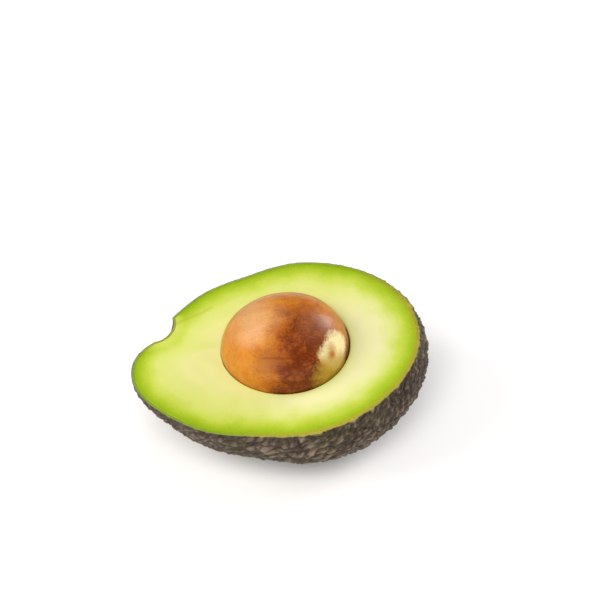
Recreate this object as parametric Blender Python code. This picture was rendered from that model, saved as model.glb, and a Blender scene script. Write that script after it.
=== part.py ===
"""Half an avocado with its seed, lying on the rounded back of its peel.

Three pieces are made: the pebbled peel, the flesh that fills it, and the seed in the hollow of the flesh.
They are shaped in the frame of the cut face: the origin is the middle of the face, +X points at the blossom
end, +Y at the back edge, and +Z out of the face. An empty then leans the face into its resting pose.
Run it with: blender --background --python part.py
"""

from math import pi, radians

import bmesh
import bpy
import numpy as np
from mathutils import Euler, Matrix, Vector

# Rim of the cut face: its distance from the middle at equal angles, from the blossom end round by the back edge.
RIM_RADII = (0.0491, 0.0472, 0.0428, 0.0388, 0.0355, 0.0346, 0.0371, 0.0414,
             0.0485, 0.0451, 0.0397, 0.0360, 0.0358, 0.0386, 0.0420, 0.0463)
# Beside the stem cavity the rim dips in. The place and the width are angles round the face.
DIP_DEPTH = 0.0030
DIP_ANGLE = radians(164)
DIP_WIDTH = radians(7.5)
OUTLINE_STEPS = 720

# Back of the fruit. Below the rim it first swells outwards, because the knife passed just above the widest part.
SWELL = 0.105
SWELL_BLUNT_END = 0.142

# Stem cavity: a round bite out of the narrow end, which the knife cut in two.
CAVITY_CENTRE = Vector((-0.0410, 0.0170, 0.0))
CAVITY_RADIUS = 0.0071

# Resting pose: the face leans to the front and towards the stem, held by a small flat spot on the peel.
LEAN_FRONT = radians(8.0)
LEAN_STEM = radians(4.0)
LEAN = Euler((LEAN_FRONT, -LEAN_STEM, 0.0)).to_matrix()
UP = Vector(LEAN[2])
REST_HEIGHT = 0.0353

# Peel
PEEL_THICKNESS = 0.0009
PEEL_CELLS = 52
NUB_HEIGHT = 0.0007
NUB_LEAST = 0.35
NUB_IN_CAVITY = 0.2
NUB_JITTER = 0.26
RANDOM_SEED = 7

# Flesh
LAYER_GAP = 0.0003
FLESH_CELLS = PEEL_CELLS // 2

# Seed
SEED_HALF_SIZE = Vector((0.0218, 0.0190, 0.0190))
SEED_CENTRE = Vector((0.0037, 0.0005, -0.0006))
SEED_TURN = radians(-8.6)
SEED_TAPER = 0.05
SEED_SEGMENTS = 44
SEED_RINGS = 22
HOLLOW_CLEARANCE = 0.0004

# Colours (linear), roughness
PEEL_LOOK = ((0.060, 0.040, 0.034, 1.0), 0.50)
FLESH_LOOK = ((0.720, 0.780, 0.230, 1.0), 0.35)
SEED_LOOK = ((0.450, 0.170, 0.045, 1.0), 0.38)


def clear_scene():
    for thing in list(bpy.data.objects):
        bpy.data.objects.remove(thing)


def rim_radius(angle):
    """Smooth closed curve: the finite Fourier series of the equally spaced RIM_RADII, less the dip."""
    count = len(RIM_RADII)
    terms = np.fft.rfft(RIM_RADII) / count
    radius = np.full_like(angle, terms[0].real)
    for turn in range(1, count // 2):
        radius += 2 * (terms[turn].real * np.cos(turn * angle) - terms[turn].imag * np.sin(turn * angle))
    radius += terms[count // 2].real * np.cos(count // 2 * angle)
    return radius - DIP_DEPTH * np.exp(2 * (np.cos(angle - DIP_ANGLE) - 1) / DIP_WIDTH ** 2)


def rim_point(angle, inset):
    """Points of the rim in the plane of the face, moved inwards along its normal by inset."""
    step = 1e-4
    here = rim_radius(angle)[..., None] * np.stack([np.cos(angle), np.sin(angle)], -1)
    ahead = rim_radius(angle + step)[..., None] * np.stack([np.cos(angle + step), np.sin(angle + step)], -1)
    along = ahead - here
    along /= np.linalg.norm(along, axis=-1, keepdims=True)
    inwards = np.stack([-along[..., 1], along[..., 0]], -1)
    return here + inset * inwards


def depth_below(plan, inset):
    """Depth of the back under a point of the face: a half circle over the face's chord across the fruit there."""
    outline = rim_point(np.linspace(0, 2 * pi, OUTLINE_STEPS, endpoint=False), inset)
    outline = np.roll(outline, -outline[:, 0].argmin(), axis=0)
    blunt = outline[:, 0].argmax()
    front = outline[: blunt + 1]
    back = np.vstack([outline[blunt:], outline[:1]])[::-1]
    to_front = plan[..., 1] - np.interp(plan[..., 0], front[:, 0], front[:, 1])
    to_back = np.interp(plan[..., 0], back[:, 0], back[:, 1]) - plan[..., 1]
    return np.sqrt(np.clip(to_front * to_back, 0, None))


def press_cavity(points, inset):
    """Moves what lies in the stem cavity's ball out to its surface, so that each layer follows the bite."""
    away = points - np.array(CAVITY_CENTRE)
    distance = np.linalg.norm(away, axis=-1, keepdims=True)
    radius = CAVITY_RADIUS + inset
    return np.where(distance < radius, np.array(CAVITY_CENTRE) + away * radius / distance, points)


def press_flat(points, inset):
    """Raises what lies below the flat spot to it, square to the direction that will point up."""
    short = np.clip(inset - REST_HEIGHT - points @ np.array(UP), 0, None)
    return points + short[..., None] * np.array(UP)


def back_surface(reach, angle, inset):
    """Points of the fruit's back. reach is 0 at its bottom and 1 at the rim, and inset is the layer's depth."""
    down = (1 - reach) * pi / 2
    rim = rim_point(angle, inset)
    depth = depth_below(rim * np.cos(down)[..., None], inset)
    swell = SWELL + SWELL_BLUNT_END * np.cos(angle)
    plan = rim * (np.cos(down) + swell * np.sin(down) * np.cos(down))[..., None]
    points = np.concatenate([plan, -depth[..., None]], -1)
    return press_flat(press_cavity(points, inset), inset)


def disc_grid(cells, jitter=0.0):
    """(reach, angle) of a square grid wrapped onto a disc, which has no pole and has evenly spaced rim points.

    Each square ring of the grid becomes a round ring. Inner points may be moved at random by a share of a cell.
    """
    line = np.linspace(-1, 1, cells + 1)
    across, along = np.meshgrid(line, line, indexing="ij")
    if jitter:
        draw = np.random.default_rng(RANDOM_SEED)
        shift = draw.uniform(-jitter, jitter, (2, *across.shape)) * 2 / cells
        inner = np.maximum(abs(across), abs(along)) < 1 - 1.5 / cells
        across = across + shift[0] * inner
        along = along + shift[1] * inner
    sideways = abs(across) > abs(along)
    wide = np.where(across == 0, 1, across)
    tall = np.where(along == 0, 1, along)
    angle = np.where(sideways, pi / 4 * along / wide, pi / 2 - pi / 4 * across / tall)
    angle = angle + np.where(np.where(sideways, across, along) < 0, pi, 0)
    return np.maximum(abs(across), abs(along)), angle


def add_sheet(bm, points):
    """Adds a grid of points as triangles, whose diagonals all join odd points, so that each even one is a peak."""
    cells = len(points) - 1
    corners = [[bm.verts.new(p) for p in row] for row in points]
    for i in range(cells):
        for j in range(cells):
            ring = (corners[i][j], corners[i + 1][j], corners[i + 1][j + 1], corners[i][j + 1])
            if (i + j) % 2 == 0:
                ring = ring[1:] + ring[:1]
            bm.faces.new((ring[0], ring[1], ring[2]))
            bm.faces.new((ring[0], ring[2], ring[3]))
    return corners


def rim_of(corners):
    """The outer points of a grid in order, once round."""
    last = len(corners) - 1
    sides = [corners[i][0] for i in range(last)]
    sides += [corners[last][j] for j in range(last)]
    sides += [corners[last - i][last] for i in range(last)]
    return sides + [corners[0][last - j] for j in range(last)]


def raise_nubs(bm, corners):
    """Lifts every second point of the grid along its normal by a random height. The rim stays in the face."""
    bmesh.ops.recalc_face_normals(bm, faces=bm.faces)
    bm.normal_update()
    draw = np.random.default_rng(RANDOM_SEED)
    heights = NUB_HEIGHT * draw.uniform(NUB_LEAST, 1.0, (len(corners), len(corners)))
    on_rim = set(rim_of(corners))
    for i, row in enumerate(corners):
        for j, v in enumerate(row):
            if (i + j) % 2:
                continue
            outwards = v.normal.copy()
            if v in on_rim:
                outwards.z = 0
                outwards.normalize()
            in_cavity = (v.co - CAVITY_CENTRE).length < CAVITY_RADIUS * 1.05
            lifted = v.co + outwards * heights[i, j] * (NUB_IN_CAVITY if in_cavity else 1.0)
            v.co = press_flat(np.array(lifted), 0.0)


def make_object(name, bm, pose, look=None):
    """Turns the bmesh into a smooth-shaded object under the pose empty, with faces pointing out."""
    bmesh.ops.recalc_face_normals(bm, faces=bm.faces)
    mesh = bpy.data.meshes.new(name)
    bm.to_mesh(mesh)
    bm.free()
    mesh.shade_smooth()
    made = bpy.data.objects.new(name, mesh)
    bpy.context.scene.collection.objects.link(made)
    made.parent = pose
    if look:
        colour, roughness = look
        material = bpy.data.materials.new(name)
        material.use_nodes = True
        shader = material.node_tree.nodes["Principled BSDF"]
        shader.inputs["Base Color"].default_value = colour
        shader.inputs["Roughness"].default_value = roughness
        material.diffuse_color = colour
        mesh.materials.append(material)
    return made


def make_peel(pose):
    """Thin shell with a pebbled outside, a smooth inside on a grid twice as coarse, and a flat cut edge."""
    bm = bmesh.new()
    reach, angle = disc_grid(PEEL_CELLS, NUB_JITTER)
    outside = add_sheet(bm, back_surface(reach, angle, 0.0))
    raise_nubs(bm, outside)
    reach, angle = disc_grid(FLESH_CELLS)
    inside = add_sheet(bm, back_surface(reach, angle, PEEL_THICKNESS))
    outer = rim_of(outside)
    inner = rim_of(inside)
    for k, v in enumerate(inner):
        ahead = inner[(k + 1) % len(inner)]
        near, mid, far = outer[2 * k], outer[2 * k + 1], outer[(2 * k + 2) % len(outer)]
        bm.faces.new((v, near, mid))
        bm.faces.new((v, mid, ahead))
        bm.faces.new((ahead, mid, far))
    return make_object("peel", bm, pose, PEEL_LOOK)


def make_flesh(pose, hollow):
    """Solid half body inside the peel, with a flat cut face and the seed's hollow cut out of it."""
    bm = bmesh.new()
    reach, angle = disc_grid(FLESH_CELLS)
    outside = add_sheet(bm, back_surface(reach, angle, PEEL_THICKNESS + LAYER_GAP))
    bm.faces.new(rim_of(outside))
    made = make_object("flesh", bm, pose, FLESH_LOOK)
    cut = made.modifiers.new("seed hollow", "BOOLEAN")
    cut.object = hollow
    cut.operation = "DIFFERENCE"
    return made


def make_seed(name, pose, grow, look=None):
    """Egg shape of the seed, its ends on X, grown all round by grow. It tapers a little to the stem side."""
    bm = bmesh.new()
    lying = Matrix.Rotation(pi / 2, 4, "Y")
    bmesh.ops.create_uvsphere(bm, u_segments=SEED_SEGMENTS, v_segments=SEED_RINGS, radius=1.0, matrix=lying)
    half = SEED_HALF_SIZE + Vector((grow, grow, grow))
    for v in bm.verts:
        girth = 1 + SEED_TAPER * v.co.x
        v.co = Vector((v.co.x * half.x, v.co.y * half.y * girth, v.co.z * half.z * girth))
    made = make_object(name, bm, pose, look)
    made.location = SEED_CENTRE
    made.rotation_euler.z = SEED_TURN
    return made


def set_down(pose, peel):
    """Moves the pose empty so that the flat spot lies on z = 0 and the origin is under the middle of the peel."""
    bpy.context.view_layer.update()
    points = np.array([peel.matrix_world @ v.co for v in peel.data.vertices])
    middle = (points.min(axis=0) + points.max(axis=0)) / 2
    pose.location = Vector((-middle[0], -middle[1], REST_HEIGHT))


def main():
    clear_scene()
    pose = bpy.data.objects.new("cut_face", None)
    bpy.context.scene.collection.objects.link(pose)
    pose.rotation_euler = LEAN.to_euler()
    hollow = make_seed("seed_hollow", pose, HOLLOW_CLEARANCE)
    hollow.hide_render = True
    hollow.display_type = "WIRE"
    peel = make_peel(pose)
    make_flesh(pose, hollow)
    make_seed("seed", pose, 0.0, SEED_LOOK)
    set_down(pose, peel)


main()
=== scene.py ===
"""Fine model and studio of half an avocado with its seed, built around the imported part.

The file is laid out as a Blender add-on and is run as a script. Shapes are worked out in the frame of the
cut face: the origin is the middle of the face, +X points at the blossom end, +Y at the back edge and +Z out
of the face. to_part() then leans them into the part's own frame. Lengths are metres unless a name ends in
_mm, and a share runs from 0 to 1.
"""

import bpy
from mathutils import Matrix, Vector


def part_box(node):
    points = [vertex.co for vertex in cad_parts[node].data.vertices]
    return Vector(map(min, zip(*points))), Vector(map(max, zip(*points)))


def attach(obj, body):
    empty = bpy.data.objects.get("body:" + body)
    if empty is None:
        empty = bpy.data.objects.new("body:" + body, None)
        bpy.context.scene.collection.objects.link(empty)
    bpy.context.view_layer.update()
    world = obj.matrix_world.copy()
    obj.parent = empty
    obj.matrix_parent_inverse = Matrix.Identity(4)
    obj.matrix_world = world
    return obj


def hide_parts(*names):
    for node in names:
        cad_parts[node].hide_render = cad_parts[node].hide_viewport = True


bl_info = {
    "name": "Avocado half",
    "version": (1, 0, 0),
    "blender": (4, 5, 0),
    "location": "3D View > Sidebar > Avocado",
    "description": "Builds the peel, the flesh and the seed of an avocado half, and a small studio",
    "category": "Mesh",
}

from math import pi, radians

import bpy
import numpy as np
from mathutils import Euler, Matrix, Vector

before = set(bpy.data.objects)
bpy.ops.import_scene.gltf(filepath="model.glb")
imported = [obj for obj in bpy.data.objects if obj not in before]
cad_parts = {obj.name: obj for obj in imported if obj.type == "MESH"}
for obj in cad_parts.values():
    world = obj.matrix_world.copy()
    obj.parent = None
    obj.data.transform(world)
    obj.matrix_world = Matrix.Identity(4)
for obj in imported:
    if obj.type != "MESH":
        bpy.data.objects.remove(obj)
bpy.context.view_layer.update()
MM = 0.001

# Form of the fruit, as in the part: rim of the face by angle, swell below it, stem cavity and resting pose
RIM_RADII = (0.0491, 0.0472, 0.0428, 0.0388, 0.0355, 0.0346, 0.0371, 0.0414,
             0.0485, 0.0451, 0.0397, 0.0360, 0.0358, 0.0386, 0.0420, 0.0463)
# Beside the stem cavity the rim dips in. The place and the width are angles round the face.
DIP_DEPTH = 0.0030
DIP_ANGLE = radians(164)
DIP_WIDTH = radians(7.5)
SWELL = 0.105
SWELL_BLUNT_END = 0.142
CAVITY_CENTRE = np.array((-0.0410, 0.0170, 0.0))
CAVITY_RADIUS = 0.0071
LEAN = np.array(Euler((radians(8.0), radians(-4.0), 0.0)).to_matrix())
UP = LEAN[2]
REST_HEIGHT = 0.0353
CAD_PEEL = 0.0009
CAD_GAP = 0.0003

# Fineness of the formulas: points of the outline, step along the rim for its normal, and the rings and
# columns on which the box of the back is measured
OUTLINE_STEPS = 1440
NORMAL_STEP = 1e-4
BOX_RINGS = 91
BOX_COLUMNS = 721
# Reach of the back's rings next to the bottom and next to the rim
REACH_FIRST = 0.01
REACH_LAST = 0.998

# Seed, as in the part: an egg lying along X, turned in the face
SEED_HALF_SIZE = np.array((0.0218, 0.0190, 0.0190))
SEED_CENTRE = np.array((0.0037, 0.0005, -0.0006))
SEED_TURN = radians(-8.6)
SEED_TAPER = 0.05

# Side of the face on which the edge is yellow and the flesh creamy and painted lighter, and the cosines
# between which that grows
BLOSSOM_SIDE = radians(-35)
BLOSSOM_FADE = (-0.1, 0.8)

# Grain of the skin: its climb towards the rim, the ball on which its length is counted, the fruit's end on
# that count, and its bends, each with its height, its length and what it adds to the random seed
GRAIN_CLIMB = radians(30)
GRAIN_BALL = 0.050
GRAIN_END = 0.0515
GRAIN_BENDS = ((0.0009, 0.013, 0), (0.0003, 0.005, 3))

# Relief of the skin, as shares of the nub height: the lowest dome, how much higher the highest one is, and
# the ridges, each with its spacing in nubs, its random seed and its height
DOME_LEAST = 0.45
DOME_MORE = 0.35
RIDGES = ((1.5, 5, 0.22), (0.7, 6, 0.10))
RIDGE_STEEPNESS = 1.2

# Marks of the seed coat: kind, strength, middle as a direction in the egg's axes, width, half the width of
# the soft edge, and random seed. The first two rows are painted highlights where the lights shine on the
# seed, not marks of the coat.
SEED_MARKS = (
    ("painted_highlight", 1.0, (-0.36, -0.05, 0.90), 0.36, 0.28, 45),
    ("painted_highlight", 0.3, (0.80, 0.10, 0.58), 0.14, 0.12, 47),
    ("purple", 0.6, (0.55, -0.12, 0.82), 0.28, 0.22, 51),
    ("purple", 1.0, (0.68, -0.17, 0.71), 0.07, 0.07, 53),
    ("purple", 0.6, (-0.12, -0.76, 0.62), 0.22, 0.20, 55),
    ("bare", 1.0, (0.86, -0.33, 0.38), 0.29, 0.10, 21),
    ("tail", 1.0, (0.80, -0.60, 0.10), 0.34, 0.17, 33),
    ("tail", 0.72, (0.80, -0.40, 0.43), 0.12, 0.12, 37),
    ("dot", 1.0, (0.818, -0.421, 0.391), 0.075, 0.06, 41),
    ("dot", 0.35, (0.80, -0.33, 0.49), 0.07, 0.05, 43),
)
# Two directions through which the seam of the seed coat runs
SEAM_POINTS = ((-0.162, -0.702, 0.694), (0.533, -0.62, 0.576))
# Lightness of the plain coat, and how much darker its dark band is. The band is partly the coat's own
# red-brown and partly painted shade where the coat reflects no light.
COAT_LIGHTNESS = 0.88
COAT_BAND_AND_SHADE = 0.80

# Scales of the patterns, in noise cells to a millimetre. Each material says how large the real pattern is.
WRINKLE_SCALE = 1.2
FIELD_SCALE = 0.2
PATCH_SCALE = 0.07
EDGE_SPECK_SCALE = 1.3
STRAND_SCALE = 0.8
CLOUD_SCALE = 0.12
FLESH_SPECK_SCALE = 1.2
OIL_CELL_SCALE = 4.0
MOTTLE_SCALE = 0.25
FLECK_SCALE = 1.4
FIBRE_SCALE = 1.5
# Tooth of the floor, in noise cells to a metre
TOOTH_SCALE = 900.0

# Studio: place, width, watts and colour of each light, and whether it shows in reflections
LIGHTS = {
    "softbox_left": ((-0.75, -0.05, 0.60), 0.55, 4.8, "#fffaf5", True),
    "softbox_right": ((0.75, 0.45, 0.36), 0.45, 5.0, "#fbfbff", True),
    "fill_front": ((-0.05, -0.60, 0.88), 0.60, 7.7, "#ffffff", False),
}
LIGHT_AIM = Vector((0.0, 0.0, 0.03))
ROOM_COLOUR = "#f7f7f7"
ROOM_STRENGTH = 0.32
FLOOR_COLOUR = "#f4f2f0"
FLOOR_GLOW = 0.10
FLOOR_HALF = 3.0
FLOOR_POINTS = 9

# Random draws
CELL_TABLE = 17
WAVE_COUNT = 14


# Mathematics of the surfaces

def unit(vectors):
    """Vectors scaled to length one."""
    return vectors / np.maximum(np.linalg.norm(vectors, axis=-1, keepdims=True), 1e-12)


def smooth(value, low, high):
    """0 below low, 1 above high, and an even S-shaped rise between them. high may be the smaller one."""
    share = np.clip((value - low) / (high - low), 0, 1)
    return share * share * (3 - 2 * share)


def waves(points, length, seed):
    """Uneven smooth values, about -1 to 1: a sum of sine waves of about that length in random directions."""
    draw = np.random.default_rng(seed)
    aims = unit(draw.normal(size=(WAVE_COUNT, 3))) * draw.uniform(0.7, 1.4, (WAVE_COUNT, 1))
    phases = draw.uniform(0, 2 * pi, WAVE_COUNT)
    return np.sin(points @ aims.T * (2 * pi / length) + phases).sum(-1) / np.sqrt(WAVE_COUNT)


def cells(points, spacing, seed):
    """Distances to the nearest and second nearest of random points, one in each cube of a lattice.

    They are counted in spacings. The third value is a random share, the same all over the nearest one's cell.
    """
    table = np.random.default_rng(seed).random((CELL_TABLE, CELL_TABLE, CELL_TABLE, 4))
    places = points / spacing
    corner = np.floor(places).astype(int)
    near = np.full(places.shape[:-1], np.inf)
    second = near.copy()
    own = near.copy()
    for step in np.ndindex(3, 3, 3):
        cube = corner + np.array(step) - 1
        drawn = table[tuple(np.moveaxis(cube % CELL_TABLE, -1, 0))]
        away = np.linalg.norm(places - cube - drawn[..., :3], axis=-1)
        second = np.where(away < near, near, np.minimum(second, away))
        own = np.where(away < near, drawn[..., 3], own)
        near = np.minimum(near, away)
    return near, second, own


def heading(angle):
    """Directions at those angles in the plane of the face."""
    return np.stack([np.cos(angle), np.sin(angle)], -1)


def dip_share(angle, width):
    """Bell curve round the face that is 1 in the middle of the rim's dip."""
    return np.exp(2 * (np.cos(angle - DIP_ANGLE) - 1) / width ** 2)


def blossom_share(angle):
    """Smooth rise of the cosine round the face that is 1 in front of the blossom end."""
    return smooth(np.cos(angle - BLOSSOM_SIDE), *BLOSSOM_FADE)


def rim_radius(angle):
    """Smooth closed curve: the finite Fourier series of the equally spaced RIM_RADII, less the dip."""
    count = len(RIM_RADII)
    terms = np.fft.rfft(RIM_RADII) / count
    radius = np.full_like(angle, terms[0].real)
    for turn in range(1, count // 2):
        radius += 2 * (terms[turn].real * np.cos(turn * angle) - terms[turn].imag * np.sin(turn * angle))
    radius += terms[count // 2].real * np.cos(count // 2 * angle)
    return radius - DIP_DEPTH * dip_share(angle, DIP_WIDTH)


def rim_normal(angle):
    """Inward normals of the rim in the plane of the face: a small step along the rim, turned by a quarter."""
    ahead = rim_radius(angle + NORMAL_STEP)[..., None] * heading(angle + NORMAL_STEP)
    along = unit(ahead - rim_radius(angle)[..., None] * heading(angle))
    return np.stack([-along[..., 1], along[..., 0]], -1)


def rim_point(angle, inset):
    """Points of the rim in the plane of the face, moved inwards along its normal by inset."""
    return rim_radius(angle)[..., None] * heading(angle) + inset * rim_normal(angle)


def depth_below(plan, inset):
    """Depth of the back under points of the face: a half circle over the face's chord across the fruit."""
    outline = rim_point(np.linspace(0, 2 * pi, OUTLINE_STEPS, endpoint=False), inset)
    outline = np.roll(outline, -outline[:, 0].argmin(), axis=0)
    blunt = outline[:, 0].argmax()
    front = outline[: blunt + 1]
    back = np.vstack([outline[blunt:], outline[:1]])[::-1]
    to_front = plan[..., 1] - np.interp(plan[..., 0], front[:, 0], front[:, 1])
    to_back = np.interp(plan[..., 0], back[:, 0], back[:, 1]) - plan[..., 1]
    return np.sqrt(np.clip(to_front * to_back, 0, None))


def press_cavity(points, inset):
    """Moves what lies in the stem cavity's ball out to its surface, so that each layer follows the bite."""
    away = points - CAVITY_CENTRE
    distance = np.linalg.norm(away, axis=-1, keepdims=True)
    radius = CAVITY_RADIUS + inset
    return np.where(distance < radius, CAVITY_CENTRE + away * radius / distance, points)


def press_flat(points, inset):
    """Raises what lies below the flat spot to it, square to the direction that will point up."""
    short = np.clip(inset - REST_HEIGHT - points @ UP, 0, None)
    return points + short[..., None] * UP


def back_surface(reach, angle, inset):
    """Points of the fruit's back: reach is 0 at its bottom and 1 at the rim, inset is the layer's depth.

    The rim is drawn in by the cosine of a quarter turn, with a swell just below the face, and each point
    hangs as far below the face as depth_below says. The stem cavity and the flat spot are then pressed in.
    """
    down = (1 - reach) * pi / 2
    rim = rim_point(angle, inset)
    depth = depth_below(rim * np.cos(down)[..., None], inset)
    swell = SWELL + SWELL_BLUNT_END * np.cos(angle)
    plan = rim * (np.cos(down) + swell * np.sin(down) * np.cos(down))[..., None]
    points = np.concatenate([plan, -depth[..., None]], -1)
    return press_flat(press_cavity(points, inset), inset)


def seed_surface(way, grow):
    """Points of the seed's egg, grown by grow. way holds directions in the egg's axes, of length one.

    The egg is a ball stretched to its half sizes, with a girth that grows evenly towards +X.
    """
    girth = 1 + SEED_TAPER * way[..., :1]
    points = way * (SEED_HALF_SIZE + grow) * np.concatenate([np.ones_like(girth), girth, girth], -1)
    turned = np.array(Matrix.Rotation(SEED_TURN, 3, "Z"))
    return points @ turned.T + SEED_CENTRE


def face_middle():
    """Middle of the cut face in the part's frame: where the leant formula fills the box of the CAD flesh."""
    reach, angle = np.meshgrid(np.linspace(0, 1, BOX_RINGS), np.linspace(0, 2 * pi, BOX_COLUMNS))
    points = back_surface(reach, angle, CAD_PEEL + CAD_GAP).reshape(-1, 3) @ LEAN.T
    low, high = (np.array(corner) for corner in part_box("flesh"))
    return (low + high) / 2 - (points.min(0) + points.max(0)) / 2


FACE_MIDDLE = face_middle()


def to_part(points):
    """Points of the cut face's frame, leant and moved into the part's frame."""
    return points @ LEAN.T + FACE_MIDDLE


# Meshes and materials

def piece_from_rings(name, rings, start, end, values):
    """Closed, smooth piece: quads between neighbouring rings of points, and fans to the start and end points.

    values maps attribute names to an array for the rings. Each fan's point takes its ring's first value.
    """
    count, around = rings.shape[:2]
    here = np.arange(count * around).reshape(count, around)
    ahead = np.roll(here, -1, axis=1)
    quads = np.stack([here[:-1], ahead[:-1], ahead[1:], here[1:]], -1).reshape(-1, 4)
    first = np.stack([np.full(around, count * around), ahead[0], here[0]], -1)
    last = np.stack([np.full(around, count * around + 1), here[-1], ahead[-1]], -1)
    points = np.vstack([rings.reshape(-1, 3), start, end])
    mesh = bpy.data.meshes.new(name)
    mesh.from_pydata(to_part(points), [], quads.tolist() + first.tolist() + last.tolist())
    a, b, c = (points[quads[:, k]] for k in range(3))
    if np.einsum("ij,ij->", a, np.cross(b, c)) < 0:
        mesh.flip_normals()
    mesh.shade_smooth()
    for key, array in values.items():
        ends = (array[0, :1].reshape(1, -1), array[-1, :1].reshape(1, -1))
        whole = np.concatenate([array.reshape(count * around, -1), *ends])
        kind = "FLOAT_VECTOR" if whole.shape[1] == 3 else "FLOAT"
        data = mesh.attributes.new(key, kind, "POINT").data
        data.foreach_set("vector" if kind == "FLOAT_VECTOR" else "value", whole.ravel().astype(np.float32))
    piece = bpy.data.objects.new(name, mesh)
    bpy.context.scene.collection.objects.link(piece)
    return piece


def put_in_place(piece, node, material):
    """Gives the piece its finish and lets it stand for the CAD node."""
    piece.data.materials.append(material)
    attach(piece, "root")
    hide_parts(node)


def linear(hex_colour):
    """sRGB hex colour as linear red, green, blue and alpha."""
    shares = np.array([int(hex_colour[k:k + 2], 16) / 255 for k in (1, 3, 5)])
    rgb = np.where(shares <= 0.04045, shares / 12.92, ((shares + 0.055) / 1.055) ** 2.4)
    return (*rgb.tolist(), 1.0)


def add_node(tree, kind, inputs=None, stops=None, out=None, **settings):
    """Adds a shader node with its settings and returns the output that out names, or else its first one.

    inputs holds a value or a socket for each input, and stops the places and colours of a ramp.
    """
    made = tree.nodes.new("ShaderNode" + kind)
    for name, value in settings.items():
        setattr(made, name, value)
    for key, value in (inputs or {}).items():
        if isinstance(value, bpy.types.NodeSocket):
            tree.links.new(value, made.inputs[key])
        else:
            made.inputs[key].default_value = value
    if stops:
        ramp = made.color_ramp.elements
        while len(ramp) < len(stops):
            ramp.new(0.5)
        for element, (place, colour) in zip(ramp, stops):
            element.position = place
            element.color = colour
    return made.outputs[out] if out else next((socket for socket in made.outputs if socket.enabled), None)


def new_material(name):
    """Empty node material and its node tree."""
    material = bpy.data.materials.new(name)
    material.use_nodes = True
    material.node_tree.nodes.clear()
    return material, material.node_tree


def finish_material(tree, inputs):
    """Principled surface with those inputs, joined to the material's output."""
    surface = add_node(tree, "BsdfPrincipled", inputs)
    add_node(tree, "OutputMaterial", {"Surface": surface})


# What a user would change

def length_property(name, description, metres):
    """Length that a user can set."""
    return bpy.props.FloatProperty(name=name, description=description, default=metres, unit="LENGTH")


def angle_property(name, description, degrees):
    """Angle that a user can set."""
    return bpy.props.FloatProperty(
        name=name, description=description, default=radians(degrees), unit="ROTATION")


class AvocadoSizes(bpy.types.PropertyGroup):
    """Sizes of the fine relief and of the cut."""

    nub_height: length_property("Nub height", "How far the peel's nubs stand up", 0.0013)
    nub_spacing: length_property("Nub spacing", "Distance between the middles of neighbouring nubs", 0.0022)
    nub_stretch: bpy.props.FloatProperty(
        name="Nub stretch", description="How much longer than wide the nubs are along the grain", default=2.2)
    peel_thickness: length_property("Peel thickness", "Thickness of the peel where it was cut", CAD_PEEL)
    lip_least: length_property("Least lip", "Smallest rounding of the flesh round the seed", 0.00015)
    lip_most: length_property("Greatest lip", "Rounding of the flesh at the seed's blossom end", 0.0007)
    face_wave: length_property("Face unevenness", "Height of the cut face's low waves", 0.00009)
    seed_dent: length_property("Seed unevenness", "Depth of the seed's shallow dents", 0.00015)


def colour_property(name, description, hex_colour):
    """Colour that a user can pick, given as an sRGB hex value."""
    return bpy.props.FloatVectorProperty(
        name=name, description=description, subtype="COLOR", size=4, min=0, max=1, default=linear(hex_colour))


class AvocadoColours(bpy.types.PropertyGroup):
    """Colours of the peel, the flesh and the seed."""

    # Furrow is the skin's dark colour between the nubs with painted shade in it, and crest the pale worn tops
    # of the nubs with painted highlights in them
    furrow_and_shade: colour_property("Furrow", "Skin between the nubs", "#221912")
    skin: colour_property("Skin", "Body of the skin", "#4d402f")
    crest_and_highlight: colour_property("Crest", "Worn, dry tops of the nubs", "#8f7c64")
    olive: colour_property("Olive", "Patches of skin that ripened last, and specks on its edge", "#4c4523")
    plum: colour_property("Plum", "Patches of skin that ripened first", "#422d2c")
    edge_skin: colour_property("Edge outside", "Cut peel next to the skin", "#8d8750")
    edge_flesh: colour_property("Edge inside", "Cut peel next to the flesh at the blossom end", "#a89e2d")
    scar: colour_property("Scar", "Corky skin of the stem cavity", "#7b6540")
    flesh_rim: colour_property("Flesh rim", "Flesh against the peel", "#83a306")
    flesh_green: colour_property("Flesh green", "Flesh two millimetres in", "#9cb516")
    # Also the colour of the painted shade on the lip round the seed
    flesh_lime: colour_property("Flesh lime", "Flesh five millimetres in and round the seed", "#bbca46")
    flesh_pale: colour_property("Flesh pale", "Flesh nine millimetres in", "#ccd46c")
    flesh_middle: colour_property("Flesh middle", "Flesh in the middle of the face", "#dbd98e")
    # Partly the flesh's own cream and partly painted light on the side that the seed shades
    flesh_cream_and_light: colour_property("Flesh cream", "Flesh between the seed and the blossom end", "#e9e4b4")
    seed_body: colour_property("Seed", "Body of the seed coat", "#a95a12")
    seed_light: colour_property("Seed light", "Light mottling of the seed coat", "#cf8422")
    # Also paints the seam, the painted shade next to the flesh and the dark end of the coat's band, which is
    # partly painted shade
    seed_dark: colour_property("Seed dark", "Dark mottling and seam of the seed coat", "#6a2802")
    seed_purple: colour_property("Seed purple", "Bruised part of the seed coat", "#8c5740")
    # Pale painted highlight laid on the seed where the lights shine on it
    seed_painted_highlight: colour_property("Seed bloom", "Dusty film on top of the seed coat", "#e0b583")
    seed_bare: colour_property("Seed bare", "Patch where the seed coat came off", "#f3e3aa")
    seed_tail: colour_property("Seed tail", "Lower, yellower end of that patch", "#b9932c")
    seed_dot: colour_property("Seed dot", "Spot in the middle of that patch", "#b3650a")


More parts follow.
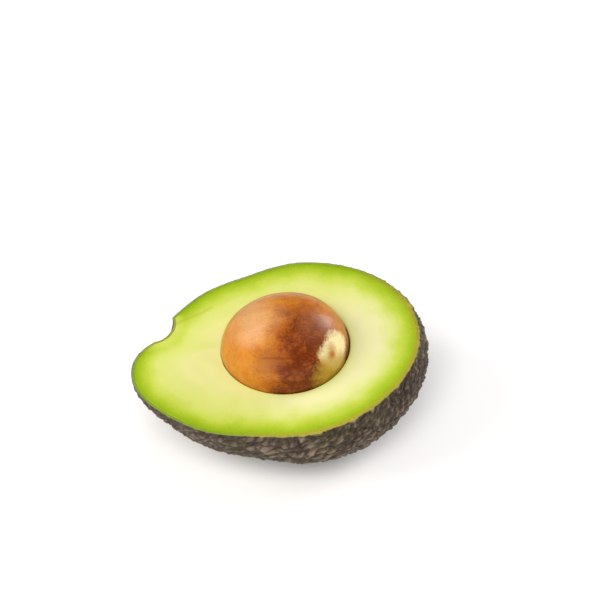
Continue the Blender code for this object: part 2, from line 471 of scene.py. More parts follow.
class AvocadoStage(bpy.types.PropertyGroup):
    """Camera of the studio."""

    target: bpy.props.FloatVectorProperty(
        name="Target", description="Point in the middle of the picture", subtype="TRANSLATION",
        default=(0.0085, 0.0190, 0.0388))
    distance: length_property("Distance", "From the camera to the target", 0.7)
    elevation: angle_property("Elevation", "Camera's height as an angle", 43.27)
    azimuth: angle_property("Azimuth", "Turn of the view about the vertical", -1.42)
    roll: angle_property("Roll", "Turn of the picture", -5.4)
    lens: bpy.props.FloatProperty(name="Lens", description="Focal length in millimetres", default=123.0)


# Materials

def skin_material(colours):
    """Waxy, pebbled avocado skin, dried to a dull grey-brown, with its cut edge.

    The furrows are dark and dull, partly their own colour and partly painted shade, and the nubs have pale,
    worn tops, partly painted highlight, with a faint wax shine. Patches lean to olive and to plum, and the
    stem cavity is corky. Attributes: nub is the relief from 0 to 1, cut_mm the depth below the skin on the
    cut edge, scar is 1 in the stem cavity, yellow is 1 where the cut edge is yellow, place is in
    millimetres, and so is grain, which is bent and is shorter along the nubs.
    """
    material, tree = new_material("avocado_skin_pebbled")
    place, grain = (add_node(tree, "Attribute", attribute_name=key, out="Vector")
                    for key in ("place", "grain"))
    nub, cut, scar, yellow = (add_node(tree, "Attribute", attribute_name=key, out="Fac")
                              for key in ("nub", "cut_mm", "scar", "yellow"))
    # Wrinkles 0.8 mm apart that run along the grain
    drawn = add_node(tree, "Mapping", {"Vector": grain, "Scale": (0.9, 1.0, 1.0)})
    wrinkles = add_node(tree, "TexNoise", {
        "Vector": drawn, "Scale": WRINKLE_SCALE, "Detail": 5.0, "Roughness": 0.62})
    # Worn and sunken fields 5 mm across
    fields = add_node(tree, "TexNoise", {"Vector": grain, "Scale": FIELD_SCALE, "Detail": 1.0})
    worn = add_node(tree, "Math", {0: fields, 1: 0.5, 2: -0.25}, operation="MULTIPLY_ADD")
    # The tone goes by the height, from the furrows to the tops of the nubs and wrinkles: partly the skin's
    # own colour, partly painted shade in the furrows and painted highlights on the tops
    low = add_node(tree, "Math", {0: nub, 1: 0.7, 2: -0.44}, operation="MULTIPLY_ADD")
    raised = add_node(tree, "Math", {0: low, 1: worn}, operation="ADD")
    height = add_node(tree, "Math", {0: wrinkles, 1: 1.3, 2: raised}, operation="MULTIPLY_ADD")
    skin = add_node(tree, "ValToRGB", {"Fac": height}, stops=[
        (0.16, colours.furrow_and_shade), (0.50, colours.skin), (0.92, colours.crest_and_highlight)])
    # Patches 14 mm across, and cork that follows the wrinkles
    patches = add_node(tree, "TexNoise", {"Vector": place, "Scale": PATCH_SCALE, "Detail": 3.0})
    olive, plum = (add_node(tree, "MapRange", {
        "Value": patches, "From Min": 0.5, "From Max": full, "To Max": 0.45}) for full in (0.68, 0.34))
    lined = add_node(tree, "Math", {0: wrinkles, 1: 1.7}, operation="MULTIPLY")
    cork = add_node(tree, "Math", {0: scar, 1: lined}, operation="MULTIPLY")
    for factor, tint in ((olive, colours.olive), (plum, colours.plum), (cork, colours.scar)):
        skin = add_node(tree, "Mix", {"Factor": factor, "A": skin, "B": tint}, data_type="RGBA")
    # Cut edge: the colour of the flesh with specks half a millimetre across, and duller next to the skin
    noise = add_node(tree, "TexNoise", {"Vector": place, "Scale": EDGE_SPECK_SCALE})
    specks = add_node(tree, "MapRange", {"Value": noise, "From Min": 0.56, "From Max": 0.68, "To Max": 0.35})
    inner = add_node(tree, "Mix", {
        "Factor": yellow, "A": colours.flesh_rim, "B": colours.edge_flesh}, data_type="RGBA")
    specked = add_node(tree, "Mix", {"Factor": specks, "A": inner, "B": colours.olive}, data_type="RGBA")
    deep = add_node(tree, "MapRange", {"Value": cut, "From Min": 0.2, "From Max": 0.55})
    edge = add_node(tree, "Mix", {"Factor": deep, "A": colours.edge_skin, "B": specked}, data_type="RGBA")
    on_edge = add_node(tree, "MapRange", {"Value": cut, "From Min": 0.05, "From Max": 0.2})
    colour = add_node(tree, "Mix", {"Factor": on_edge, "A": skin, "B": edge}, data_type="RGBA")
    shine = add_node(tree, "MapRange", {
        "Value": height, "From Min": 0.2, "From Max": 1.2, "To Min": 0.70, "To Max": 0.34})
    bump = add_node(tree, "Bump", {"Height": wrinkles, "Strength": 1.0, "Distance": 1.0 * MM})
    finish_material(tree, {"Base Color": colour, "Roughness": shine, "Normal": bump, "IOR": 1.40})
    return material


def flesh_material(colours):
    """Moist, buttery avocado flesh, cut with a knife.

    It is deep green against the peel, fades through lime to a cream yellow round the seed, and lets some
    light through. The blossom side is creamier, partly its own colour and partly painted light where the seed
    shades it, and the lip round the seed has a greener, darker painted shade. Attributes: rim_mm is the
    distance from the peel, flow is a place in millimetres that changes slowly along the rim and quickly
    across it, place is in millimetres, hollow is the share of the lip's painted shade, 1 at the seed's
    blossom end, yellow is 1 on that side of the face, and vein is the share of the strand from the stem.
    """
    material, tree = new_material("avocado_flesh_cut")
    place, flow = (add_node(tree, "Attribute", attribute_name=key, out="Vector")
                   for key in ("place", "flow"))
    rim, hollow, yellow, vein = (add_node(tree, "Attribute", attribute_name=key, out="Fac")
                                 for key in ("rim_mm", "hollow", "yellow", "vein"))
    # Strands about 1.2 mm wide that follow the rim, and clouds 8 mm across, push the gradient in and out, but
    # little next to the peel
    strands = add_node(tree, "TexNoise", {"Vector": flow, "Scale": STRAND_SCALE, "Detail": 3.0})
    strand = add_node(tree, "Math", {0: strands, 1: 1.6, 2: -0.8}, operation="MULTIPLY_ADD")
    clouds = add_node(tree, "TexNoise", {"Vector": place, "Scale": CLOUD_SCALE, "Detail": 2.0})
    cloud = add_node(tree, "Math", {0: clouds, 1: 8.0, 2: -4.0}, operation="MULTIPLY_ADD")
    shift = add_node(tree, "Math", {0: cloud, 1: strand}, operation="ADD")
    deep = add_node(tree, "MapRange", {"Value": rim, "From Min": 1.0, "From Max": 9.0, "To Min": 0.25})
    drifted = add_node(tree, "Math", {0: shift, 1: deep, 2: rim}, operation="MULTIPLY_ADD")
    # Faint specks 0.8 mm across
    specks = add_node(tree, "TexNoise", {"Vector": place, "Scale": FLESH_SPECK_SCALE, "Detail": 3.0})
    speckled = add_node(tree, "Math", {0: specks, 1: 2.0, 2: drifted}, operation="MULTIPLY_ADD")
    level = add_node(tree, "MapRange", {"Value": speckled, "From Min": 1.0, "From Max": 19.0})
    colour = add_node(tree, "ValToRGB", {"Fac": level}, stops=[
        (0.0, colours.flesh_rim), (0.10, colours.flesh_green), (0.27, colours.flesh_lime),
        (0.45, colours.flesh_pale), (1.0, colours.flesh_middle)])
    # At the blossom end the middle is creamier, partly the flesh's own colour and partly painted light on the
    # side that the seed shades, the last millimetre is yellow, and the lip round the seed gets a greener,
    # darker painted shade
    inner = add_node(tree, "MapRange", {"Value": drifted, "From Min": 5.0, "From Max": 13.0})
    cream_and_light_side = add_node(tree, "Math", {0: inner, 1: yellow}, operation="MULTIPLY")
    cream_and_light = add_node(tree, "Math", {0: cream_and_light_side, 1: 0.65}, operation="MULTIPLY")
    last = add_node(tree, "MapRange", {"Value": rim, "From Min": 1.2, "From Max": 0.0})
    tinge = add_node(tree, "Math", {0: last, 1: yellow}, operation="MULTIPLY")
    lip = add_node(tree, "Math", {0: hollow, 1: 0.6}, operation="MULTIPLY")
    for factor, tint in ((cream_and_light, colours.flesh_cream_and_light), (tinge, colours.edge_flesh),
                         (lip, colours.flesh_lime), (vein, colours.edge_flesh)):
        colour = add_node(tree, "Mix", {"Factor": factor, "A": colour, "B": tint}, data_type="RGBA")
    # Grain of the oil cells, which are 0.05 mm across and drawn five times as coarse
    oil_cells = add_node(tree, "TexNoise", {"Vector": place, "Scale": OIL_CELL_SCALE, "Detail": 2.0})
    shine = add_node(tree, "MapRange", {"Value": oil_cells, "To Min": 0.30, "To Max": 0.48})
    bump = add_node(tree, "Bump", {"Height": oil_cells, "Strength": 0.12, "Distance": 0.1 * MM})
    finish_material(tree, {
        "Base Color": colour, "Roughness": shine, "Normal": bump, "IOR": 1.40,
        "Subsurface Weight": 0.2, "Subsurface Radius": (1.0, 0.8, 0.3), "Subsurface Scale": 1.5 * MM})
    return material


def seed_material(colours):
    """Papery seed coat of an avocado, damp and mottled orange-brown, worn through at one spot.

    Fine fibres run along it, and pale painted highlights lie on top where the lights shine on it. Attributes:
    pale is the coat's lightness from 0 to 1, with painted shade in its dark band and next to the flesh; the
    share of the painted highlights, purple, bare, tail, dot and the seam are shares of its marks, the seam's
    share also holding painted shade next to the flesh; and place is in millimetres on a ball as large as the
    seed.
    """
    material, tree = new_material("avocado_seed_coat")
    place = add_node(tree, "Attribute", attribute_name="place", out="Vector")
    marks = {key: add_node(tree, "Attribute", attribute_name=key, out="Fac")
             for key in ("pale", "painted_highlight", "purple", "bare", "tail", "dot", "seam_and_shade")}
    # Mottling 4 mm across with flecks of 0.7 mm
    mottle = add_node(tree, "TexNoise", {
        "Vector": place, "Scale": MOTTLE_SCALE, "Detail": 6.0, "Roughness": 0.62, "Distortion": 0.5})
    flecks = add_node(tree, "TexNoise", {
        "Vector": place, "Scale": FLECK_SCALE, "Detail": 3.0, "Roughness": 0.6})
    mixed = add_node(tree, "Math", {0: flecks, 1: 0.7, 2: mottle}, operation="MULTIPLY_ADD")
    # Fibres 0.6 mm wide that run along the seed
    drawn = add_node(tree, "Mapping", {
        "Vector": place, "Rotation": (0.0, 0.3, 0.35), "Scale": (0.35, 1.0, 1.0)})
    fibres = add_node(tree, "TexNoise", {
        "Vector": drawn, "Scale": FIBRE_SCALE, "Detail": 3.0, "Distortion": 1.6})
    # pale brings in the coat's dark band, partly painted shade, and the painted shade low on the sides
    lined = add_node(tree, "Math", {0: fibres, 1: 0.45, 2: marks["pale"]}, operation="MULTIPLY_ADD")
    mottled = add_node(tree, "Math", {0: lined, 1: mixed}, operation="ADD")
    level = add_node(tree, "Math", {0: mottled, 1: 1.08}, operation="SUBTRACT")
    colour = add_node(tree, "ValToRGB", {"Fac": level}, stops=[
        (0.0, colours.seed_dark), (0.45, colours.seed_body), (1.0, colours.seed_light)])
    # The bare patch and its tail fray into the coat, but only near their own edges
    fray = add_node(tree, "Math", {0: mixed, 1: 1.3, 2: -1.1}, operation="MULTIPLY_ADD")
    for key in ("bare", "tail"):
        near = add_node(tree, "Math", {0: marks[key], 1: 4.0}, operation="MULTIPLY", use_clamp=True)
        frayed = add_node(tree, "Math", {0: near, 1: fray, 2: marks[key]}, operation="MULTIPLY_ADD")
        marks[key] = add_node(tree, "MapRange", {"Value": frayed, "From Min": 0.15, "From Max": 0.95})
    # The painted highlight is thin between the fibres
    highlight_by_fibres = add_node(tree, "Math", {0: fibres, 1: 1.2, 2: 0.4}, operation="MULTIPLY_ADD")
    marks["painted_highlight"] = add_node(tree, "Math", {0: marks["painted_highlight"], 1: highlight_by_fibres}, operation="MULTIPLY")
    # The first mix lays the painted highlights over the coat
    for key, share, tint in (("painted_highlight", 0.5, colours.seed_painted_highlight), ("purple", 0.7, colours.seed_purple),
                             # The seam mix also lays painted shade next to the flesh
                             ("seam_and_shade", 0.55, colours.seed_dark), ("bare", 0.95, colours.seed_bare),
                             ("tail", 0.85, colours.seed_tail), ("dot", 0.95, colours.seed_dot)):
        factor = add_node(tree, "Math", {0: marks[key], 1: share}, operation="MULTIPLY")
        colour = add_node(tree, "Mix", {"Factor": factor, "A": colour, "B": tint}, data_type="RGBA")
    shine = add_node(tree, "MapRange", {"Value": flecks, "To Min": 0.24, "To Max": 0.38})
    bump = add_node(tree, "Bump", {"Height": flecks, "Strength": 0.25, "Distance": 0.15 * MM})
    finish_material(tree, {"Base Color": colour, "Roughness": shine, "Normal": bump, "IOR": 1.34})
    return material


def floor_material():
    """Matte white top of a light table, with a faint tooth. Its own light keeps it white in soft shade."""
    material, tree = new_material("white_acrylic_matte")
    place = add_node(tree, "TexCoord", out="Object")
    tooth = add_node(tree, "TexNoise", {"Vector": place, "Scale": TOOTH_SCALE, "Detail": 2.0})
    bump = add_node(tree, "Bump", {"Height": tooth, "Strength": 0.05, "Distance": 0.1 * MM})
    finish_material(tree, {
        "Base Color": linear(FLOOR_COLOUR), "Roughness": 0.9, "Normal": bump,
        "Emission Color": linear("#ffffff"), "Emission Strength": FLOOR_GLOW})
    return material


# Pieces

def outward(grid):
    """Normals of a grid of rings that run round the fruit, from its steps around and towards the rim."""
    around = np.roll(grid, -1, axis=1) - np.roll(grid, 1, axis=1)
    return unit(np.cross(around, np.gradient(grid, axis=0)))


def skin_grain(points, stretch):
    """Bent places on which the skin's relief is drawn, squeezed along the grain so that the nubs are long.

    The grain climbs towards the rim on the way to the blossom end. The distance along the fruit is counted as
    on a ball, so that the nubs stay long up to its round end.
    """
    bend = np.stack([sum(height * waves(points, length, axis + more) for height, length, more in GRAIN_BENDS)
                     for axis in (1, 2, 3)], -1)
    moved = points + bend
    along = GRAIN_BALL * np.arcsin(np.clip(moved[..., 0] / GRAIN_END, -1, 1))
    grain = (np.cos(GRAIN_CLIMB) * along + np.sin(GRAIN_CLIMB) * moved[..., 2]) / stretch
    across = np.cos(GRAIN_CLIMB) * moved[..., 2] - np.sin(GRAIN_CLIMB) * along
    return np.stack([grain, moved[..., 1], across], -1)


def nub_relief(grain, spacing):
    """Relief of the skin from 0 to 1: domes of random height on random cells, and the ridges that join them.

    A dome falls off with the square of the distance from its cell's point and ends where the next cell
    starts. A ridge stands where a sum of waves passes through zero.
    """
    near, second, own = cells(grain, spacing, seed=4)
    dome = np.clip(1 - near ** 2, 0, 1) * smooth(second - near, -0.15, 0.5)
    relief = dome * (DOME_LEAST + DOME_MORE * own)
    for length, seed, height in RIDGES:
        ridge = np.clip(1 - RIDGE_STEEPNESS * abs(waves(grain, spacing * length, seed)), 0, 1)
        relief = relief + height * ridge
    return relief


class AVOCADO_OT_peel(bpy.types.Operator):
    """Peel: the fruit's back, raised by the relief, then the cut edge and the smooth inside"""

    bl_idname = "avocado.peel"
    bl_label = "Peel"

    columns = 600
    outer_rows = 140
    inner_rows = 14
    # Reach from which the nubs turn to stand out level, so that the rim stays in the plane of the face
    reach_level = 0.97
    # Distances from the middle of the stem cavity between which its cork fades in
    cork_outer = 1.35 * CAVITY_RADIUS
    cork_inner = 0.9 * CAVITY_RADIUS
    # How much lower the relief is in the cavity, at the rim from that reach on, and at the stem end from the
    # first place to the second. Where the edge is yellow, the rim is lowered by that share less.
    calm_cavity = 0.8
    calm_rim = 0.75
    calm_reach = 0.94
    calm_less = 0.45
    calm_stem = 0.35
    stem_from = 0.010
    stem_to = -0.025
    # Yellow in the rim's dip: how strong, and how much wider than the dip
    dip_yellow = 0.7
    dip_spread = 1.5
    # Cut edge: shares of the way from the skin to the flesh, its low crown, and how ragged that is
    edge_steps = (0.03, 0.12, 0.3, 0.6, 0.85, 0.97, 1.0)
    edge_crown = 0.00007
    edge_ragged = 0.6

    def execute(self, context):
        sizes = context.scene.avocado_sizes
        turn = np.linspace(0, 2 * pi, self.columns, endpoint=False)
        reaches = np.append(np.linspace(REACH_FIRST, 1, self.outer_rows), REACH_LAST)
        reach, angle = np.meshgrid(np.sort(reaches), turn, indexing="ij")
        base = back_surface(reach, angle, 0.0)
        normal = outward(base)
        level = smooth(reach, 1.0, self.reach_level)[..., None]
        normal = unit(normal * np.concatenate([np.ones_like(level), np.ones_like(level), level], -1))
        cork = smooth(np.linalg.norm(base - CAVITY_CENTRE, axis=-1), self.cork_outer, self.cork_inner)
        grain = skin_grain(base, sizes.nub_stretch)
        yellow = np.maximum(blossom_share(turn),
                            self.dip_yellow * dip_share(turn, self.dip_spread * DIP_WIDTH))
        nub = nub_relief(grain, sizes.nub_spacing) * (1 - self.calm_cavity * cork)
        # Only the shape is calmer at the rim and the stem end: the paint keeps the whole relief
        at_rim = self.calm_rim * smooth(reach, self.calm_reach, 1.0)
        raised = nub * (1 - at_rim * (1 - self.calm_less * yellow))
        raised = raised * (1 - self.calm_stem * smooth(base[..., 0], self.stem_from, self.stem_to))
        skin = press_flat(base + normal * (raised * sizes.nub_height)[..., None], 0.0)

        inner_rim = back_surface(np.ones(self.columns), turn, sizes.peel_thickness)
        across = np.array(self.edge_steps)[:, None, None]
        edge = skin[-1] * (1 - across) + inner_rim * across
        ragged = 1 + self.edge_ragged * waves(edge, length=0.004, seed=6)
        edge[..., 2] += self.edge_crown * np.sin(pi * across[..., 0]) * ragged
        reach, angle = np.meshgrid(np.linspace(REACH_LAST, REACH_FIRST, self.inner_rows), turn, indexing="ij")
        inside = back_surface(reach, angle, sizes.peel_thickness)

        rings = np.concatenate([skin, edge, inside])

        def carried(array):
            """The skin's values, and those of its last ring on the edge and the inside too."""
            return np.concatenate([array, np.repeat(array[-1:], len(rings) - len(skin), 0)])

        depth = np.linalg.norm(edge - skin[-1], axis=-1) / MM
        values = {
            "place": rings / MM,
            "grain": carried(grain) / MM,
            "nub": carried(nub),
            "scar": carried(cork),
            "cut_mm": np.concatenate([np.zeros(skin.shape[:2]), depth, np.ones(inside.shape[:2])]),
            "yellow": np.broadcast_to(yellow, rings.shape[:2]),
        }
        bottom = np.zeros(1)
        piece = piece_from_rings("peel_fine", rings, back_surface(bottom, bottom, 0.0),
                                 back_surface(bottom, bottom, sizes.peel_thickness), values)
        put_in_place(piece, "peel", skin_material(context.scene.avocado_colours))
        return {"FINISHED"}


class AVOCADO_OT_flesh(bpy.types.Operator):
    """Flesh: wall against the peel, cut face with low waves, rounded lip and the seed's hollow"""

    bl_idname = "avocado.flesh"
    bl_label = "Flesh"

    columns = 600
    wall_rows = 14
    face_rows = 70
    lip_rows = 8
    hollow_rows = 24
    # Hair gaps to the peel and to the seed, what the second one grows by at the blossom end, and how far the
    # face's outer corner is lowered
    fit = 0.00001
    clearance = 0.00005
    clearance_more = 0.00015
    corner = 0.00002
    # Side of the seed on which the lip is greatest, and the share of a quarter turn that the hollow goes down
    lip_side = radians(-20)
    hollow_share = 0.985
    # Share of the face next to each of its edges in which its waves fade in
    wave_border = 0.1
    # Strand from the stem cavity: its ends, its greatest share, its width, and how far it wanders
    vein_ends = ((-0.0335, 0.0163), (-0.0205, 0.0213))
    vein_share = 0.45
    vein_width = 0.0006
    vein_wander = 0.0002
    # Round the cavity the flesh is as pale as these millimetres farther in, up to this distance from it
    cavity_pale_mm = 5.0
    cavity_reach = 0.005
    # Round of the strands' pattern, and how far from the seed the lip's greener painted shade reaches
    flow_round_mm = 4.0
    lip_shade_reach_mm = 1.2

    def below_rim(self, points, inset):
        """Millimetres from the rim, as if there were no stem cavity, and more round the cavity.

        It is the way to the rim along the radius, times the cosine between the radius and the rim's normal.
        """
        angle = np.arctan2(points[..., 1], points[..., 0])
        short = rim_radius(angle) - inset - np.linalg.norm(points[..., :2], axis=-1)
        square = -(rim_normal(angle) * heading(angle)).sum(-1)
        from_cavity = np.linalg.norm(points - CAVITY_CENTRE, axis=-1) - CAVITY_RADIUS
        return short * square / MM + self.cavity_pale_mm * smooth(from_cavity, self.cavity_reach, 0.0)

    def vein(self, points):
        """Share of the faint strand from the stem cavity.

        It is a bell curve over the uneven distance from the strand's line, and halves on the way in.
        """
        start, end = np.array(self.vein_ends)
        along = np.clip((points[..., :2] - start) @ (end - start) / ((end - start) ** 2).sum(), 0, 1)
        off = points[..., :2] - start - along[..., None] * (end - start)
        distance = np.linalg.norm(off, axis=-1) + self.vein_wander * waves(points, length=0.004, seed=9)
        return self.vein_share * np.exp(-(distance / self.vein_width) ** 2) * (1 - 0.5 * along)

    def execute(self, context):
        sizes = context.scene.avocado_sizes
        turn = np.linspace(0, 2 * pi, self.columns, endpoint=False)
        inset = sizes.peel_thickness + self.fit
        reach, angle = np.meshgrid(np.linspace(REACH_FIRST, REACH_LAST, self.wall_rows), turn, indexing="ij")
        wall = back_surface(reach, angle, inset)

        own = turn - SEED_TURN
        blunt = (1 + np.cos(turn - self.lip_side)) / 2
        lip = (sizes.lip_least + (sizes.lip_most - sizes.lip_least) * blunt)[:, None]
        gap = (self.clearance + self.clearance_more * blunt ** 2)[:, None]
        level = np.stack([np.cos(own), np.sin(own), np.zeros_like(own)], -1)
        hollow_edge = seed_surface(level, gap)
        away = unit(hollow_edge - SEED_CENTRE)
        lip_start = hollow_edge + away * lip
        lip_start[:, 2] = 0
        rim = back_surface(np.ones(self.columns), turn, inset)
        share = np.linspace(0, 1, self.face_rows)[:, None, None]
        face = rim * (1 - share) + lip_start * share
        rim_mm = self.below_rim(face, inset)
        fade = smooth(share[..., 0], 0, self.wave_border) * smooth(share[..., 0], 1, 1 - self.wave_border)
        uneven = waves(face, length=0.016, seed=7) + 0.5 * waves(face, length=0.007, seed=8)
        face[..., 2] = uneven * sizes.face_wave * fade
        face[0, :, 2] -= self.corner

        bend = np.linspace(0, pi / 2, self.lip_rows + 1)[1:, None, None]
        curl = lip_start - away * lip * np.sin(bend)
        curl[..., 2] = (lip * (np.cos(bend) - 1))[..., 0]
        top = np.arcsin(np.clip((lip[:, 0] + SEED_CENTRE[2]) / SEED_HALF_SIZE[2], 0, 1))
        fall = top + (self.hollow_share * pi / 2 - top) * np.linspace(0, 1, self.hollow_rows)[:, None]
        way = np.stack([np.cos(own) * np.cos(fall), np.sin(own) * np.cos(fall), -np.sin(fall)], -1)
        hollow = seed_surface(way, gap)

        rings = np.concatenate([wall, face, curl, hollow])
        inner = len(curl) + len(hollow)
        distance = np.concatenate([np.zeros(wall.shape[:2]), rim_mm, np.repeat(rim_mm[-1:], inner, 0)])
        seed_mm = np.linalg.norm(rings - lip_start, axis=-1) / MM
        circle = self.flow_round_mm * heading(turn)
        values = {
            "place": rings / MM,
            "rim_mm": distance,
            "flow": np.concatenate([np.broadcast_to(circle, (*distance.shape, 2)), distance[..., None]], -1),
            # Painted shade on the flesh's lip round the seed, strongest at its blossom end
            "hollow": np.exp(-seed_mm / self.lip_shade_reach_mm) * blunt,
            "vein": self.vein(rings),
            "yellow": np.broadcast_to(blossom_share(turn), distance.shape),
        }
        bottom = np.zeros(1)
        lowest = seed_surface(np.array(((0.0, 0.0, -1.0),)), self.clearance)
        piece = piece_from_rings("flesh_fine", rings, back_surface(bottom, bottom, inset), lowest, values)
        put_in_place(piece, "flesh", flesh_material(context.scene.avocado_colours))
        return {"FINISHED"}


def spot(way, middle, width, edge, seed):
    """Share of a round mark on the seed: 1 near its middle, a half at width from it, with an uneven edge."""
    uneven = 0.10 * waves(way, length=0.5, seed=seed) + 0.025 * waves(way, length=0.16, seed=seed + 1)
    distance = np.linalg.norm(way - unit(np.array(middle)), axis=-1) + width * uneven
    return smooth(distance, width + edge, width - edge)


def seed_marks(way):
    """Shares of the seed coat's marks by kind: each kind is the greatest of its spots."""
    marks = {}
    for kind, strength, middle, width, edge, seed in SEED_MARKS:
        share = strength * spot(way, middle, width, edge, seed)
        marks[kind] = np.maximum(marks.get(kind, 0.0), share)
    return marks


def coat_lightness_and_shade(way):
    """Lightness of the seed coat: the plain coat, less a dark band and painted shade low on the sides, next
    to the flesh.

    The band is partly the coat's own darker red-brown and partly painted shade where the coat reflects no
    light. It rises across an uneven line round the middle of the seed, fades towards the back, and is weaker
    on the blossom end.
    """
    x, y, z = np.moveaxis(way, -1, 0)
    drift = x + 0.08 * waves(way, length=0.5, seed=61) + 0.05 * smooth(y, -0.4, -0.7)
    to_back = 0.72 * smooth(y, -0.25, 0.45)
    to_blossom_end = 0.45 * smooth(drift, 0.60, 0.90)
    # Painted shade low on the sides, where the seed meets the flesh
    painted_shade_low = 0.35 * smooth(z, 0.5, 0.0) * smooth(x, -0.7, 0)
    band_and_shade = smooth(drift, -0.28, 0.28) * (1 - to_back) * (1 - to_blossom_end) + painted_shade_low
    return COAT_LIGHTNESS - COAT_BAND_AND_SHADE * np.clip(band_and_shade, 0, 1)


def coat_seam_and_shade(way):
    """Share of the coat's dark lines: an uneven arc across the front, and painted shade along the line where
    the seed meets the flesh.
    """
    x, y, z = np.moveaxis(way, -1, 0)
    off = abs(way @ unit(np.cross(*SEAM_POINTS)) + 0.02 * waves(way, length=0.7, seed=26))
    arc = smooth(off, 0.025, 0.0) * smooth(x, -0.35, -0.1) * smooth(x, 0.6, 0.4) * (y < 0)
    # Painted shade along the line where the seed meets the flesh
    painted_shade_by_flesh = smooth(z, 0.22, 0.02) * smooth(x, 0.0, 0.7)
    return np.maximum(arc, painted_shade_by_flesh)


class AVOCADO_OT_seed(bpy.types.Operator):
    """Seed: an egg lying along the fruit, with shallow dents and the marks of its coat"""

    bl_idname = "avocado.seed"
    bl_label = "Seed"

    columns = 320
    rows = 200
    # Depths of the seam and of the bare patch, and the ball on which the patterns are drawn. The seam's depth
    # also dents the band of painted shade next to the flesh, as both share one value.
    seam_depth = 0.00005
    bare_depth = 0.00008
    pattern_ball_mm = 20.0

    def execute(self, context):
        sizes = context.scene.avocado_sizes
        along = np.linspace(0, pi, self.rows + 2)[1:-1, None]
        turn = np.linspace(0, 2 * pi, self.columns, endpoint=False)
        way = np.stack([np.cos(along) + 0 * turn, np.sin(along) * np.cos(turn),
                        np.sin(along) * np.sin(turn)], -1)
        marks = seed_marks(way)
        # The seam's share also holds painted shade next to the flesh
        seam_and_shade = coat_seam_and_shade(way)
        dents = waves(way, length=0.9, seed=27) + 0.4 * waves(way, length=0.3, seed=28)
        lift = -sizes.seed_dent * (0.5 + 0.5 * np.clip(dents, -1, 1))
        lift = lift - self.seam_depth * seam_and_shade - self.bare_depth * marks["bare"]
        rings = seed_surface(way, lift[..., None])
        values = {"place": way * self.pattern_ball_mm, "pale": coat_lightness_and_shade(way), **marks, "seam_and_shade": seam_and_shade}
        ends = seed_surface(np.array(((1.0, 0.0, 0.0), (-1.0, 0.0, 0.0))), -sizes.seed_dent / 2)
        piece = piece_from_rings("seed_fine", rings, ends[:1], ends[1:], values)
        put_in_place(piece, "seed", seed_material(context.scene.avocado_colours))
        return {"FINISHED"}


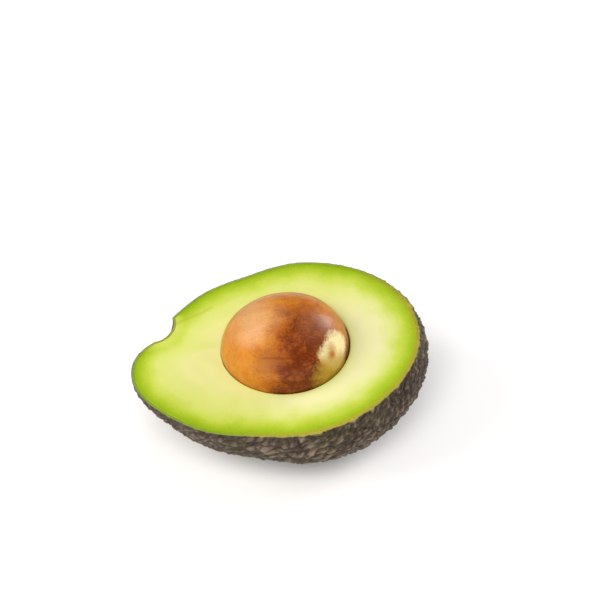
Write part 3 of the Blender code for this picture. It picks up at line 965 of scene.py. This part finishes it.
class AVOCADO_OT_stage(bpy.types.Operator):
    """Pale floor, soft lights and the camera at the photograph's angle"""

    bl_idname = "avocado.stage"
    bl_label = "Stage"

    def add_camera(self, context):
        """Camera that looks at the target from the chosen distance and angles."""
        stage = context.scene.avocado_stage
        level = Vector((0, np.cos(stage.elevation), -np.sin(stage.elevation)))
        towards = Euler((0, 0, -stage.azimuth)).to_matrix() @ level
        data = bpy.data.cameras.new("camera")
        data.lens = stage.lens
        data.sensor_width = 36.0
        data.clip_start = 0.01
        camera = bpy.data.objects.new("camera", data)
        view = towards.to_track_quat("-Z", "Y").to_matrix() @ Matrix.Rotation(stage.roll, 3, "Z")
        place = Vector(stage.target) - towards * stage.distance
        camera.matrix_world = Matrix.Translation(place) @ view.to_4x4()
        context.scene.collection.objects.link(camera)
        context.scene.camera = camera

    def add_floor(self, context):
        """Square floor: a flat grid of points."""
        line = np.linspace(-FLOOR_HALF, FLOOR_HALF, FLOOR_POINTS)
        across, along = np.meshgrid(line, line, indexing="ij")
        points = np.stack([across, along, np.zeros_like(across)], -1).reshape(-1, 3)
        here = np.arange(FLOOR_POINTS ** 2).reshape(FLOOR_POINTS, FLOOR_POINTS)
        quads = np.stack([here[:-1, :-1], here[1:, :-1], here[1:, 1:], here[:-1, 1:]], -1).reshape(-1, 4)
        mesh = bpy.data.meshes.new("floor")
        mesh.from_pydata(points, [], quads.tolist())
        mesh.materials.append(floor_material())
        floor = bpy.data.objects.new("floor", mesh)
        context.scene.collection.objects.link(floor)

    def add_light(self, context, name, place, size, power, colour, in_reflections):
        """Square soft light at place, turned to the fruit."""
        data = bpy.data.lights.new(name, "AREA")
        data.shape = "SQUARE"
        data.size = size
        data.energy = power
        data.color = linear(colour)[:3]
        light = bpy.data.objects.new(name, data)
        light.location = place
        light.visible_glossy = in_reflections
        light.rotation_euler = (LIGHT_AIM - Vector(place)).to_track_quat("-Z", "Y").to_euler()
        context.scene.collection.objects.link(light)

    def execute(self, context):
        self.add_camera(context)
        self.add_floor(context)
        for name, settings in LIGHTS.items():
            self.add_light(context, name, *settings)
        world = bpy.data.worlds.new("studio")
        world.use_nodes = True
        background = world.node_tree.nodes["Background"].inputs
        background["Color"].default_value = linear(ROOM_COLOUR)
        background["Strength"].default_value = ROOM_STRENGTH
        context.scene.world = world
        context.scene.view_settings.view_transform = "Standard"
        return {"FINISHED"}


OPERATORS = (AVOCADO_OT_peel, AVOCADO_OT_flesh, AVOCADO_OT_seed, AVOCADO_OT_stage)


class AVOCADO_PT_panel(bpy.types.Panel):
    """Lists the steps that build the avocado half"""

    bl_label = "Avocado half"
    bl_space_type = "VIEW_3D"
    bl_region_type = "UI"
    bl_category = "Avocado"

    def draw(self, context):
        for operator in OPERATORS:
            self.layout.operator(operator.bl_idname)


GROUPS = {"avocado_sizes": AvocadoSizes, "avocado_colours": AvocadoColours, "avocado_stage": AvocadoStage}


def register():
    """Registers the property groups, the operators and the panel."""
    for kind in (*GROUPS.values(), *OPERATORS, AVOCADO_PT_panel):
        bpy.utils.register_class(kind)
    for name, group in GROUPS.items():
        setattr(bpy.types.Scene, name, bpy.props.PointerProperty(type=group))


def unregister():
    """Takes back what register() does."""
    for name in GROUPS:
        delattr(bpy.types.Scene, name)
    for kind in (AVOCADO_PT_panel, *reversed(OPERATORS), *GROUPS.values()):
        bpy.utils.unregister_class(kind)


def main():
    """Builds the pieces and the stage."""
    register()
    bpy.ops.avocado.peel()
    bpy.ops.avocado.flesh()
    bpy.ops.avocado.seed()
    bpy.ops.avocado.stage()


if __name__ == "__main__":
    main()
